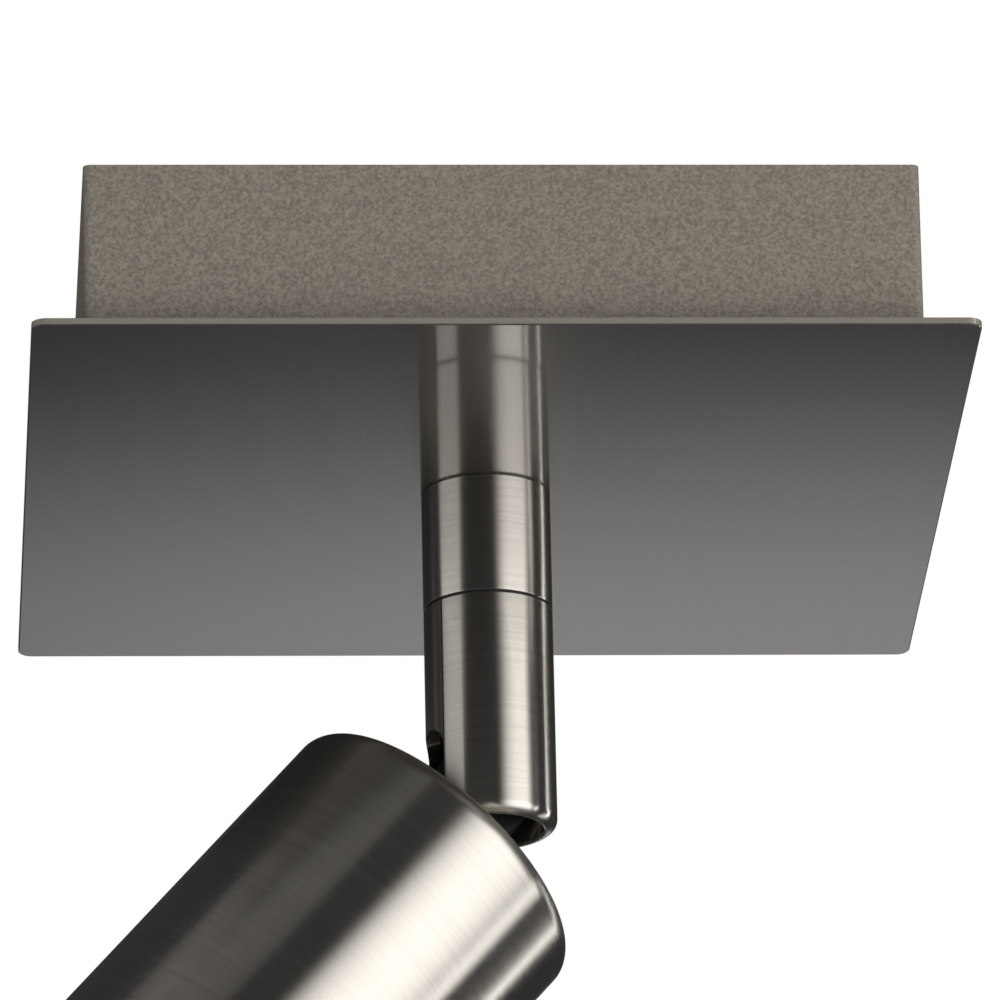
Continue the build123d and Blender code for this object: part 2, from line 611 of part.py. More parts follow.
def lamp_holder():
    """A ceramic bayonet holder with a chamber for the pins' flanges and two screw holes."""
    body = disc(HOLDER_RADIUS, behind(HOLDER_BACK), behind(HOLDER_FRONT))
    body = chamfer(body.edges().filter_by(GeomType.CIRCLE), 0.8)
    body -= ring(8.8, 1.6, behind(27.0), behind(HOLDER_FRONT - 3.0))
    for hole in bayonet_holes():
        body -= hole
    for side in (-1, 1):
        x = side * HOLDER_SCREW_X
        body -= disc(1.6, behind(HOLDER_BACK - 1), behind(HOLDER_FRONT + 1), x=x)
        body -= disc(2.9, behind(HOLDER_FRONT - HOLDER_SCREW_RECESS), behind(HOLDER_FRONT + 1), x=x)
        wire_top, wire_end = behind(HOLDER_BACK - 1), behind(27.5)
        body -= disc(LEAD_RADIUS + 0.2, wire_top, wire_end, -PIN_GAP_X, side * POLE_GAP_Y)
    return body


def holder_contacts():
    """Sprung brass leaves that press on the lamp's pins."""
    leaf = block(5.0, 4.4, behind(32.2), behind(32.6), y=PIN_CIRCLE)
    post = block(1.2, 3.0, behind(27.0), behind(32.2), x=1.9, y=PIN_CIRCLE)
    return Compound([leaf + post, Rot(0, 0, 180) * (leaf + post)])


def holder_screws():
    depth = HOLDER_FRONT - HOLDER_SCREW_RECESS
    length = depth - HOLDER_BACK + 4.0
    screw = Rot(180, 0, 0) * pan_screw(1.5, head_radius=2.7, head_height=1.7, length=length)
    seat = behind(depth)
    return Compound([Pos(side * HOLDER_SCREW_X, 0, seat) * screw for side in (-1, 1)])


# ---------------------------------------------------------------- lamp
def lamp_shell():
    """The lamp's grooved body, from its cap to the rim round the lens."""
    back, front = behind(LAMP_BACK), behind(LAMP_FRONT)
    cone_top, cone_end = back - 8, back - 32
    outside = [(0, back), (10.6, back), (11.4, back - 0.8)]
    outside += [(CAP_RADIUS, cone_top), (CONE_RADIUS, cone_end)]
    outside += [(LAMP_RADIUS, back - 35), (LAMP_RADIUS, front + 0.8), (LAMP_RADIUS - 0.8, front)]
    inside = [(LENS_RADIUS, front), (LENS_RADIUS, front + 4.5), (22.0, front + 5.4), (22.0, cone_end + 1)]
    inside += [(CAP_RADIUS - 1.6, cone_top + 1), (10.0, back - 1.6), (0, back - 1.6)]
    shell = revolve(make_face(Plane.XZ * Polyline(*outside, *inside, close=True)), Axis.Z)
    slope = degrees(atan2(CONE_RADIUS - CAP_RADIUS, cone_top - cone_end))
    middle = Pos((CAP_RADIUS + CONE_RADIUS) / 2 + 0.5, 0, (cone_top + cone_end) / 2)
    groove = middle * Rot(0, -slope, 0) * Box(2.4, 1.8, 22)
    for turn in range(GROOVES):
        shell -= Rot(0, 0, 360 * turn / GROOVES) * groove
    return shell


def lamp_board():
    """The aluminium board behind the lens."""
    top = behind(LAMP_FRONT) + 9.6
    return disc(21.9, top, top - 1.6)


def lamp_diodes():
    """One emitter in the middle of the board and six round it."""
    top = behind(LAMP_FRONT) + 8.0
    chip = block(3.0, 3.0, top, top - 0.8)
    return Compound([chip] + [Rot(0, 0, 60 * turn) * Pos(13, 0, 0) * chip for turn in range(6)])


def lamp_lens():
    """The clear front, held in the rim."""
    front = behind(LAMP_FRONT) + 1.0
    lens = disc(LENS_RADIUS, front + 2.4, front)
    return chamfer(lens.edges().sort_by(Axis.Z)[0], 0.5)


def lamp_pins():
    """Two flanged contact pins."""
    stem = disc(1.6, behind(34.6), behind(LAMP_BACK), y=PIN_CIRCLE)
    flange = disc(2.45, behind(32.6), behind(34.6), y=PIN_CIRCLE)
    flange = chamfer(flange.edges().filter_by(GeomType.CIRCLE), 0.3)
    return Compound([stem + flange, Rot(0, 0, 180) * (stem + flange)])


# ---------------------------------------------------------------- write every piece
os.makedirs("parts", exist_ok=True)

save("ceiling_bracket", ceiling_bracket())
save("bracket_nuts", bracket_nuts())
save("canopy_box", canopy_box())
save("canopy_screws", canopy_screws())
save("face_plate", face_plate())
save("plate_studs", plate_studs())
save("plate_nuts", plate_nuts())
save("terminal_block", terminal_block())
save("terminal_barrels", terminal_barrels())
save("terminal_screws", terminal_screws())
save("terminal_fixing_screw", terminal_fixing_screw())
save("earth_washer", earth_washer())
save("earth_screw", earth_screw())
save("lead_live", pole_lead(-1))
save("lead_neutral", pole_lead(1))
save("lead_earth", earth_lead())
save("threaded_nipple", threaded_nipple())
save("nipple_bush", nipple_bush())
save("nipple_washer", nipple_washer())
save("nipple_nut", nipple_nut())
save("stem_upper", stem_upper())
save("stop_pin", stop_pin())
save("swivel_washer", swivel_washer())
save("swivel_spring", swivel_spring())
save("swivel_nut", swivel_nut())

save("stem_lower", stem_lower(), SWIVEL)
save("tilt_fork", tilt_fork(), SWIVEL)
save("fork_set_screw", fork_set_screw(), SWIVEL)
save("pivot_screw", pivot_screw(), SWIVEL)
save("pivot_nut", pivot_nut(), SWIVEL)
save("pivot_washers", pivot_washers(), SWIVEL)
for pole, conductor in zip(("live", "earth", "neutral"), swivel_leads()):
    save(f"swivel_lead_{pole}", conductor, SWIVEL)

save("tilt_knuckle", tilt_knuckle(), HEAD)
save("shank_washer", shank_washer(), HEAD)
save("shank_nut", shank_nut(), HEAD)
save("lamp_housing", lamp_housing(), HEAD)
save("socket_bracket", socket_bracket(), HEAD)
save("earth_tag_rivet", earth_tag_rivet(), HEAD)
save("lamp_holder", lamp_holder(), HEAD)
save("holder_contacts", holder_contacts(), HEAD)
save("holder_screws", holder_screws(), HEAD)
for pole, conductor in zip(("live", "neutral"), head_leads()):
    save(f"head_lead_{pole}", conductor, HEAD)
save("head_lead_earth", head_earth_lead(), HEAD)

save("lamp_shell", lamp_shell(), HEAD)
save("lamp_board", lamp_board(), HEAD)
save("lamp_diodes", lamp_diodes(), HEAD)
save("lamp_lens", lamp_lens(), HEAD)
save("lamp_pins", lamp_pins(), HEAD)
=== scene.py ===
import json
from math import cos, pi, radians, sin, tan, tau

import bmesh
import bpy
from mathutils import Matrix, Vector


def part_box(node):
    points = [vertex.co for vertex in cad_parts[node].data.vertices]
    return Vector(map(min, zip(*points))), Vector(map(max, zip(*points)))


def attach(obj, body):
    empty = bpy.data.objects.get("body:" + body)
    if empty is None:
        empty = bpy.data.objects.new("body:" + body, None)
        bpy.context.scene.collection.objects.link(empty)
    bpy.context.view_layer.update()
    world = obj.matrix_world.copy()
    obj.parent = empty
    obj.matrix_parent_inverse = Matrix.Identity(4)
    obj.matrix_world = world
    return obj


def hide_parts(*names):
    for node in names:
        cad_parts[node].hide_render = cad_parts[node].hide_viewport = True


# A single ceiling spotlight seen from below. Metres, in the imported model's frame: the origin is the
# centre of the ceiling plane, +Z points up into the ceiling, and the head leans towards -X.

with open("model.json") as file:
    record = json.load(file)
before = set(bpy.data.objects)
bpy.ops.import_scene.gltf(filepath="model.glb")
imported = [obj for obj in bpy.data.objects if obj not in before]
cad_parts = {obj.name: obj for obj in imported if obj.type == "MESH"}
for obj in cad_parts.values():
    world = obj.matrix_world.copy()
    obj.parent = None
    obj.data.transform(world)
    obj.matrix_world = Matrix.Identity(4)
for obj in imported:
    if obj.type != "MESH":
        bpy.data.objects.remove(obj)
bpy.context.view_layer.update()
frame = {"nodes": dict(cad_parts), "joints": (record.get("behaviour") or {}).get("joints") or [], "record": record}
JOINTS = {joint["name"]: joint for joint in frame["joints"]}
MM = 0.001
SHARP = radians(38)
SQUARE = ((-1, -1), (1, -1), (1, 1), (-1, 1))


# ---------------------------------------------------------------- the frames of the moving bodies
def moved_frame(along, across, origin):
    """A frame with +Z against the direction along and +Y on the direction across."""
    z_axis = -Vector(along).normalized()
    y_axis = Vector(across).normalized()
    x_axis = y_axis.cross(z_axis)
    place = Matrix((x_axis, y_axis, z_axis)).transposed().to_4x4()
    place.translation = Vector(origin)
    return place


TILT_AXIS = JOINTS["head_tilt"]["axis"]
PIVOT = JOINTS["head_tilt"]["pos_m"]
BASE = Matrix.Identity(4)
SWIVEL = moved_frame((0, 0, -1), TILT_AXIS, (0, 0, 0))
HEAD = moved_frame(JOINTS["lamp_twist"]["axis"], TILT_AXIS, PIVOT)


def box_in(place, node):
    """A CAD node's lowest and highest corners, measured in one of the frames above."""
    inverse = place.inverted()
    points = [inverse @ vertex.co for vertex in frame["nodes"][node].data.vertices]
    low = Vector([min(point[i] for point in points) for i in range(3)])
    high = Vector([max(point[i] for point in points) for i in range(3)])
    return low, high


# ---------------------------------------------------------------- materials
class Look:
    """A material that is being put together round one Principled shader."""

    def __init__(self, name, colour, roughness, metallic=0.0, **sockets):
        self.material = bpy.data.materials.new(name)
        self.material.use_nodes = True
        self.tree = self.material.node_tree
        self.shader = self.tree.nodes["Principled BSDF"]
        self.set("Base Color", (*colour, 1.0))
        self.set("Roughness", roughness)
        self.set("Metallic", metallic)
        for socket, value in sockets.items():
            self.set(socket.replace("_", " "), value)

    def set(self, socket, source):
        self.feed(self.shader.inputs[socket], source)

    def feed(self, socket, source):
        """Links a node's output to an input, or gives the input a value."""
        if isinstance(source, bpy.types.NodeSocket):
            self.tree.links.new(source, socket)
        else:
            socket.default_value = source

    def node(self, kind, *sources, **settings):
        """Adds a node, sets its properties, and feeds its inputs in order. None leaves an input alone."""
        new = self.tree.nodes.new("ShaderNode" + kind)
        for name, value in settings.items():
            setattr(new, name, value)
        for socket, source in zip(new.inputs, sources):
            if source is not None:
                self.feed(socket, source)
        return new

    def maths(self, operation, *sources):
        return self.node("Math", *sources, operation=operation).outputs[0]

    def place(self):
        """Where a point lies in its own object, in metres."""
        return self.node("TexCoord").outputs["Object"]

    def facing(self, axis):
        """How squarely a surface faces along one axis of its object, from 0 to 1."""
        normal = self.node("TexCoord").outputs["Normal"]
        return self.maths("ABSOLUTE", self.node("SeparateXYZ", normal).outputs[axis])

    def stretched(self, x, y, z):
        """Object coordinates scaled to features of about 1/x, 1/y and 1/z metres."""
        return self.node("VectorMath", self.place(), (x, y, z), operation="MULTIPLY").outputs[0]

    def turned(self, around, along):
        """Coordinates for marks that run round the Z axis, on walls and on end faces."""
        parts = self.node("SeparateXYZ", self.place())
        flat = self.node("CombineXYZ", parts.outputs["X"], parts.outputs["Y"], 0.0)
        reach = self.node("VectorMath", flat.outputs[0], operation="LENGTH").outputs["Value"]
        depth = self.maths("SUBTRACT", parts.outputs["Z"], reach)
        point = self.node("CombineXYZ", parts.outputs["X"], parts.outputs["Y"], depth).outputs[0]
        return self.node("VectorMath", point, (around, around, along), operation="MULTIPLY").outputs[0]

    def noise(self, where, scale=1.0, detail=3.0, roughness=0.55):
        new = self.node("TexNoise")
        self.feed(new.inputs["Vector"], where)
        for name, value in (("Scale", scale), ("Detail", detail), ("Roughness", roughness)):
            new.inputs[name].default_value = value
        return new.outputs[0]

    def cells(self, where, scale):
        """Distance to the middle of the nearest of many cells."""
        new = self.node("TexVoronoi", feature="F1")
        self.feed(new.inputs["Vector"], where)
        new.inputs["Scale"].default_value = scale
        return new.outputs["Distance"]

    def blended(self, first, second, share):
        """A share of the first texture, and the rest from the second."""
        main = self.maths("MULTIPLY", first, share)
        rest = self.maths("MULTIPLY", second, 1 - share)
        return self.maths("ADD", main, rest)

    def spread(self, value, low, high, start=0.25, end=0.75):
        """Takes a texture's middle range to the values from low to high."""
        new = self.node("MapRange", value, start, end, low, high)
        new.clamp = True
        return new.outputs[0]

    def ramp(self, value, stops):
        """A colour ramp through (position, colour) stops."""
        new = self.node("ValToRGB", value)
        elements = new.color_ramp.elements
        while len(elements) < len(stops):
            elements.new(0.5)
        for element, (position, colour) in zip(elements, stops):
            element.position = position
            element.color = (*colour, 1.0)
        return new.outputs[0]

    def tint(self, value, *colours, reach=0.25):
        """A colour ramp with its colours evenly spaced, to that far on each side of the middle."""
        last = len(colours) - 1
        return self.ramp(value, [(0.5 - reach + 2 * reach * step / last, colour)
                                 for step, colour in enumerate(colours)])

    def shades(self, value, colour, dark, light, reach=0.25):
        """A ramp from a darker to a lighter shade of one colour."""
        return self.tint(value, scaled(colour, dark), colour, scaled(colour, light), reach=reach)

    def mix(self, share, first, second):
        return self.node("MixRGB", share, first, second).outputs[0]

    def relief(self, height, distance, strength=1.0):
        """Raises the surface by a height map, distance in metres."""
        bump = self.node("Bump")
        bump.inputs["Strength"].default_value = strength
        bump.inputs["Distance"].default_value = distance
        self.feed(bump.inputs["Height"], height)
        self.set("Normal", bump.outputs[0])


def scaled(colour, factor):
    return tuple(min(1.0, channel * factor) for channel in colour)


NICKEL = (0.60, 0.565, 0.515)
SOFT_RELIEF = 0.6


def nickel_turned():
    """Brushed satin nickel on turned pieces: fine marks round the axis smear reflections along it."""
    smear = {"Anisotropic": 0.94, "Anisotropic_Rotation": 0.25}
    look = Look("brushed_nickel_turned", NICKEL, 0.25, metallic=1.0, **smear)
    look.set("Tangent", look.node("Tangent", direction_type="RADIAL", axis="Z").outputs[0])
    hairs = look.noise(look.turned(around=22, along=5200), detail=4)
    bands = look.noise(look.turned(around=9, along=900), detail=2)
    both = look.blended(hairs, bands, share=0.65)
    look.set("Base Color", look.shades(both, NICKEL, dark=0.90, light=1.08, reach=0.17))
    look.set("Roughness", look.spread(both, low=0.22, high=0.28))
    look.relief(hairs, distance=0.3e-6)
    return look.material


def nickel_plate():
    """The same finish on the plate: a haze from fine hairlines along Y, under a clear and sharply
    reflecting film. The plate's cut edge is duller."""
    film = {"Coat_Weight": 1.0, "Coat_Roughness": 0.06, "Coat_IOR": 2.3}
    edge_colour, edge_roughness, edge_metallic = (0.42, 0.385, 0.33, 1.0), 0.55, 0.4
    all_edge, all_face = 0.3, 0.8
    look = Look("brushed_nickel_plate", NICKEL, 0.4, **film)
    hairs = look.noise(look.stretched(5200, 60, 60), detail=4)
    bands = look.noise(look.stretched(900, 14, 14), detail=3)
    both = look.blended(hairs, bands, share=0.6)
    edge = look.node("MapRange", look.facing("Z"), all_edge, all_face, 1.0, 0.0).outputs[0]
    brushed = look.shades(both, scaled(NICKEL, 0.44), dark=0.86, light=1.12, reach=0.2)
    look.set("Base Color", look.mix(edge, brushed, edge_colour))
    look.set("Metallic", look.maths("MULTIPLY_ADD", edge, edge_metallic - 1, 1.0))
    face_roughness = look.spread(both, low=0.34, high=0.44)
    cut_roughness = look.maths("MULTIPLY", edge, edge_roughness)
    look.set("Roughness", look.maths("MAXIMUM", face_roughness, cut_roughness))
    look.relief(hairs, distance=0.06e-6)
    return look.material


def canopy_paint():
    """Warm grey metallic paint with a fine, sandy texture."""
    grey = (0.330, 0.294, 0.243)
    look = Look("canopy_paint", grey, 0.6, metallic=0.25)
    where = look.place()
    sand = look.noise(where, scale=1900, detail=1, roughness=0.5)
    blotch = look.noise(where, scale=420, detail=4)
    both = look.blended(sand, blotch, share=0.9)
    look.set("Base Color", look.shades(both, grey, dark=0.72, light=1.28, reach=0.2))
    look.set("Roughness", look.spread(sand, low=0.50, high=0.72))
    look.relief(sand, 0.14e-3, SOFT_RELIEF)
    return look.material


def zinc():
    """Bright zinc plate with faint clouding."""
    blue_grey, grey, yellow_grey = (0.56, 0.57, 0.58), (0.66, 0.67, 0.66), (0.74, 0.73, 0.69)
    look = Look("zinc_steel", grey, 0.35, metallic=1.0)
    where = look.place()
    cloud = look.noise(where, scale=260, detail=4)
    spangle = look.cells(where, scale=900)
    grain = look.noise(where, scale=4000, detail=2)
    look.set("Base Color", look.tint(cloud, blue_grey, grey, yellow_grey))
    look.set("Roughness", look.spread(cloud, low=0.26, high=0.44))
    look.relief(look.maths("ADD", spangle, grain), 4e-6, SOFT_RELIEF)
    return look.material


def satin(name, colour, roughness, grain_scale, grain_height, metallic=0.0, variation=0.12, **sockets):
    """A painted, moulded or fired surface: one colour with slight clouding and a fine grain."""
    look = Look(name, colour, roughness, metallic, **sockets)
    where = look.place()
    grain = look.noise(where, scale=grain_scale, detail=3)
    cloud = look.noise(where, scale=70, detail=4)
    both = look.blended(grain, cloud, share=0.5)
    look.set("Base Color", look.shades(both, colour, dark=1 - variation, light=1 + variation))
    look.set("Roughness", look.spread(both, roughness * 0.85, min(1.0, roughness * 1.15)))
    look.relief(grain, grain_height, SOFT_RELIEF)
    return look.material


def striped_lead():
    """Green insulation with a yellow stripe along each side that faces Y."""
    green_ends, yellow_starts = 0.55, 0.62
    look = Look("lead_green_yellow", (0.09, 0.30, 0.04), 0.5)
    share = look.node("MapRange", look.facing("Y"), green_ends, yellow_starts, 0.0, 1.0).outputs[0]
    cloud = look.noise(look.place(), scale=300, detail=3)
    green = look.tint(cloud, (0.05, 0.22, 0.03), (0.07, 0.28, 0.04))
    yellow = look.tint(cloud, (0.72, 0.60, 0.04), (0.85, 0.72, 0.06))
    look.set("Base Color", look.mix(share, green, yellow))
    look.set("Roughness", look.spread(cloud, low=0.42, high=0.58))
    look.relief(cloud, 6e-6, SOFT_RELIEF)
    return look.material


def clear_lens():
    """Moulded clear plastic, with very slight waviness in its polish."""
    look = Look("lens_clear", (0.97, 0.98, 0.99), 0.05, Transmission_Weight=1.0, IOR=1.49)
    look.set("Roughness", look.spread(look.noise(look.place(), scale=900), low=0.02, high=0.08))
    return look.material


# A satin finish is its name, colour, roughness, the scale of its grain, and the grain's height in metres.
MATERIALS = {
    "canopy_paint": canopy_paint(),
    "zinc_steel": zinc(),
    "black_metal": satin("black_metal", (0.012, 0.012, 0.013), 0.5, 3200, 8e-6, variation=0.3,
                         Specular_IOR_Level=0.12),
    "black_nylon": satin("black_nylon", (0.022, 0.022, 0.023), 0.62, 5200, 6e-6, variation=0.25),
    "terminal_plastic": satin("terminal_plastic", (0.78, 0.76, 0.70), 0.45, 4200, 5e-6, variation=0.05),
    "brass": satin("brass", (0.72, 0.52, 0.24), 0.3, 5200, 3e-6, metallic=1.0),
    "lead_brown": satin("lead_brown", (0.16, 0.060, 0.026), 0.5, 2600, 6e-6),
    "lead_blue": satin("lead_blue", (0.030, 0.12, 0.42), 0.5, 2600, 6e-6),
    "lead_green_yellow": striped_lead(),
    "ceramic": satin("ceramic", (0.83, 0.80, 0.74), 0.22, 1500, 12e-6, variation=0.05, Coat_Weight=0.6),
    "lamp_white": satin("lamp_white", (0.80, 0.80, 0.79), 0.36, 1300, 10e-6, variation=0.05),
    "board_aluminium": satin("board_aluminium", (0.80, 0.80, 0.78), 0.34, 2600, 5e-6, variation=0.05),
    "diode_yellow": satin("diode_yellow", (0.80, 0.60, 0.09), 0.45, 5200, 4e-6),
    "lens_clear": clear_lens(),
}
NICKEL_TURNED = nickel_turned()
NICKEL_PLATE = nickel_plate()


def give(thing, material):
    """Puts one material on every slot of an object."""
    slots = thing.material_slots
    if not slots:
        thing.data.materials.append(material)
    for slot in slots:
        slot.material = material


for subpart in frame["record"]["subparts"]:
    finish = MATERIALS.get(subpart["material_slot"], NICKEL_TURNED)
    give(frame["nodes"][subpart["node"]], finish)
give(frame["nodes"]["face_plate"], NICKEL_PLATE)


# ---------------------------------------------------------------- pieces in mesh code
def added(name, data):
    """A new object in the scene."""
    thing = bpy.data.objects.new(name, data)
    bpy.context.scene.collection.objects.link(thing)
    return thing


def piece(name, mesh, place, body, slot, *nodes, material=None):
    """Adds a piece in one of the frames, which rides on a body and stands for CAD nodes."""
    thing = added(name, mesh)
    thing.matrix_world = place
    give(thing, material or MATERIALS[slot])
    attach(thing, body)
    if nodes:
        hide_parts(*nodes)


def finished(name, mesh, sharp=SHARP):
    """Closes a bmesh into mesh data, smooth except across its sharp edges."""
    data = bpy.data.meshes.new(name)
    for face in mesh.faces:
        face.smooth = True
    for edge in mesh.edges:
        edge.smooth = len(edge.link_faces) == 2 and edge.calc_face_angle() < sharp
    mesh.to_mesh(data)
    mesh.free()
    return data


def joined(name, meshes):
    """Puts several meshes into one, with their sharp edges marked again."""
    mesh = bmesh.new()
    for data in meshes:
        mesh.from_mesh(data)
    return finished(name, mesh)


def applied(thing):
    """A bmesh of an object's shape with its modifiers applied."""
    shape = thing.evaluated_get(bpy.context.evaluated_depsgraph_get())
    mesh = bmesh.new()
    mesh.from_mesh(shape.to_mesh())
    shape.to_mesh_clear()
    return mesh


def rounded(corners, steps=8):
    """A closed outline of (radius, height, rounding) corners, with each corner turned by an arc."""
    outline = []
    count = len(corners)
    for index, (x, y, rounding) in enumerate(corners):
        here = Vector((x, y))
        if not rounding:
            outline.append(here)
            continue
        before = (Vector(corners[index - 1][:2]) - here).normalized()
        after = (Vector(corners[(index + 1) % count][:2]) - here).normalized()
        half = before.angle(after) / 2
        centre = here + (before + after).normalized() * (rounding / sin(half))
        start = here + before * (rounding / tan(half)) - centre
        turn = (pi - 2 * half) * (-1 if before.cross(after) > 0 else 1)
        for step in range(steps + 1):
            outline.append(centre + Matrix.Rotation(turn * step / steps, 2) @ start)
    return outline


def lathe(name, outline, segments=192):
    """Turns a closed outline of radii and heights round the Z axis."""
    mesh = bmesh.new()
    rings = []
    for step in range(segments):
        angle = tau * step / segments
        rings.append([mesh.verts.new((r * cos(angle), r * sin(angle), z)) for r, z in outline])
    for near, far in zip(rings, rings[1:] + rings[:1]):
        for index in range(len(outline)):
            after = (index + 1) % len(outline)
            mesh.faces.new((near[index], far[index], far[after], near[after]))
    bmesh.ops.remove_doubles(mesh, verts=mesh.verts, dist=1e-7)
    bmesh.ops.recalc_face_normals(mesh, faces=mesh.faces)
    return finished(name, mesh)


def walled(mesh, near, far):
    """Closes two rows of vertices into a prism."""
    mesh.faces.new(near)
    mesh.faces.new(far)
    for index in range(len(near)):
        after = (index + 1) % len(near)
        mesh.faces.new((near[index], near[after], far[after], far[index]))


def prism(outline, depth, place):
    """A closed prism: an outline in the frame's XY plane, run to both sides along its Z."""
    mesh = bmesh.new()
    near = [mesh.verts.new(place @ Vector((x, y, -depth))) for x, y in outline]
    far = [mesh.verts.new(place @ Vector((x, y, depth))) for x, y in outline]
    walled(mesh, near, far)
    bmesh.ops.recalc_face_normals(mesh, faces=mesh.faces)
    return finished("prism", mesh)


def cut(data, *tools):
    """Takes closed tool meshes out of a closed mesh, and returns the result with its sharp edges marked."""
    thing = added("work", data)
    helpers = []
    for tool in tools:
        helper = added("tool", tool)
        helpers.append(helper)
        modifier = thing.modifiers.new("cut", "BOOLEAN")
        modifier.operation = "DIFFERENCE"
        modifier.solver = "MANIFOLD"
        modifier.object = helper
    mesh = applied(thing)
    for spent in [thing, *helpers]:
        bpy.data.objects.remove(spent)
    return finished(data.name, mesh)


# ---------------------------------------------------------------- stem
UPPER_LOW, UPPER_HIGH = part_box("stem_upper")
STEM_LOW, STEM_HIGH = box_in(SWIVEL, "stem_lower")
STEM_RADIUS = UPPER_HIGH.x
STEM_BORE = 8.2 * MM
NIPPLE_LOW, NIPPLE_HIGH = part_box("threaded_nipple")
NIPPLE_RADIUS = NIPPLE_HIGH.x
UPPER_FLOOR = 4 * MM
LOWER_FLOOR = 3.0 * MM
SLOT_HALF_WIDTH = 5.25 * MM
SLOT_RISE = 10.1 * MM
SLOT_CORNER = 3.6 * MM
SET_SCREW_HOLE = 1.5 * MM


def stem_upper():
    """The fixed half of the stem, chamfered where it meets the plate, with its floor below."""
    top, bottom, bevel = UPPER_HIGH.z, UPPER_LOW.z, 0.3 * MM
    corners = [
        (STEM_RADIUS - bevel, top, 0.1 * MM),
        (STEM_RADIUS, top - bevel, 0.15 * MM),
        (STEM_RADIUS, bottom, 0.2 * MM),
        (NIPPLE_RADIUS, bottom, 0),
        (NIPPLE_RADIUS, bottom + UPPER_FLOOR, 0),
        (STEM_BORE, bottom + UPPER_FLOOR, 0.3 * MM),
        (STEM_BORE, top, 0.2 * MM),
    ]
    mesh = lathe("upper_tube", rounded(corners))
    piece("upper_tube", mesh, BASE, "base", "brushed_nickel", "stem_upper", material=NICKEL_TURNED)


def standing(x, z=0.0):
    """A frame whose Z runs along the stem's X, with its XY plane upright at that x and z."""
    return Matrix(((0, 0, 1, x), (1, 0, 0, 0), (0, 1, 0, z), (0, 0, 0, 1)))


def stem_lower():
    """The turning half: a tube with a floor at the top, open below and slotted on the knuckle's side."""
    top, bottom = STEM_HIGH.z, STEM_LOW.z
    bore = NIPPLE_RADIUS + 0.06 * MM
    corners = [
        (STEM_RADIUS, top, 0.2 * MM),
        (STEM_RADIUS, bottom, 1.9 * MM),
        (STEM_BORE, bottom, 0.5 * MM),
        (STEM_BORE, top - LOWER_FLOOR, 0.4 * MM),
        (bore, top - LOWER_FLOOR, 0),
        (bore, top, 0.15 * MM),
    ]
    tube = lathe("lower_tube", rounded(corners))
    slot_top, below = PIVOT[2] + SLOT_RISE, bottom - 5 * MM
    slot_corners = [
        (-SLOT_HALF_WIDTH, below, 0),
        (SLOT_HALF_WIDTH, below, 0),
        (SLOT_HALF_WIDTH, slot_top, SLOT_CORNER),
        (-SLOT_HALF_WIDTH, slot_top, SLOT_CORNER),
    ]
    slot = prism(rounded(slot_corners, steps=12), STEM_RADIUS - 0.5 * MM, standing(-STEM_RADIUS))
    hole = rounded([(x * SET_SCREW_HOLE, y * SET_SCREW_HOLE, 1.49 * MM) for x, y in SQUARE])
    screw_low, screw_high = box_in(SWIVEL, "fork_set_screw")
    screw_hole = prism(hole, 4 * MM, standing(STEM_RADIUS, (screw_low.z + screw_high.z) / 2))
    mesh = cut(tube, slot, screw_hole)
    piece("lower_tube", mesh, SWIVEL, "swivel", "brushed_nickel", "stem_lower", material=NICKEL_TURNED)


# ---------------------------------------------------------------- head
CAN_LOW, CAN_HIGH = box_in(HEAD, "lamp_housing")
CAN_RADIUS = CAN_HIGH.x
CAN_WALL = 1.0 * MM
SHANK_HOLE = 5.1 * MM


def housing():
    """The deep-drawn can: rounded at the rear, with a small inward hem at the mouth."""
    rear, mouth, inside = CAN_HIGH.z, CAN_LOW.z, CAN_RADIUS - CAN_WALL
    hem = inside - 0.5 * MM
    corners = [
        (SHANK_HOLE, rear, 0.1 * MM),
        (CAN_RADIUS, rear, 3.3 * MM),
        (CAN_RADIUS, mouth, 0.45 * MM),
        (hem, mouth, 0.45 * MM),
        (hem, mouth + 1.4 * MM, 0.2 * MM),
        (inside, mouth + 1.6 * MM, 0.1 * MM),
        (inside, rear - CAN_WALL, 2.3 * MM),
        (SHANK_HOLE, rear - CAN_WALL, 0.1 * MM),
    ]
    mesh = lathe("housing_can", rounded(corners, steps=14), segments=256)
    piece("housing_can", mesh, HEAD, "head", "brushed_nickel", "lamp_housing", material=NICKEL_TURNED)


# ---------------------------------------------------------------- threads, and softened castings
def thread(name, radius, bore, top, bottom, pitch, segments=48):
    """A rod or tube with a V thread: rows of points that climb one pitch on each turn."""
    depth, rows = 0.5 * pitch, 6
    count = int((top - bottom) / pitch * rows) + 2 * rows
    mesh = bmesh.new()
    columns = []
    for step in range(segments):
        angle = tau * step / segments
        column = []
        for row in range(-rows, count):
            height = min(max(bottom + pitch * (row / rows + step / segments), bottom), top)
            crest = abs(row % rows - rows / 2) / (rows / 2)
            reach = min(radius - depth * (1 - crest), radius - depth + min(height - bottom, top - height))
            column.append(mesh.verts.new((reach * cos(angle), reach * sin(angle), height)))
        columns.append(column)
    length = len(columns[0])
    for step in range(segments):
        shift = rows if step == segments - 1 else 0
        near, far = columns[step], columns[(step + 1) % segments]
        for row in range(length - 1 - shift):
            mesh.faces.new((near[row], far[row + shift], far[row + shift + 1], near[row + 1]))
    bmesh.ops.remove_doubles(mesh, verts=mesh.verts, dist=1e-6)
    bmesh.ops.dissolve_degenerate(mesh, edges=mesh.edges, dist=1e-6)
    if bore:
        bore_through(mesh, bore, top, bottom, segments)
    else:
        bmesh.ops.holes_fill(mesh, edges=mesh.edges, sides=0)
    bmesh.ops.recalc_face_normals(mesh, faces=mesh.faces)
    return finished(name, mesh, sharp=radians(24))


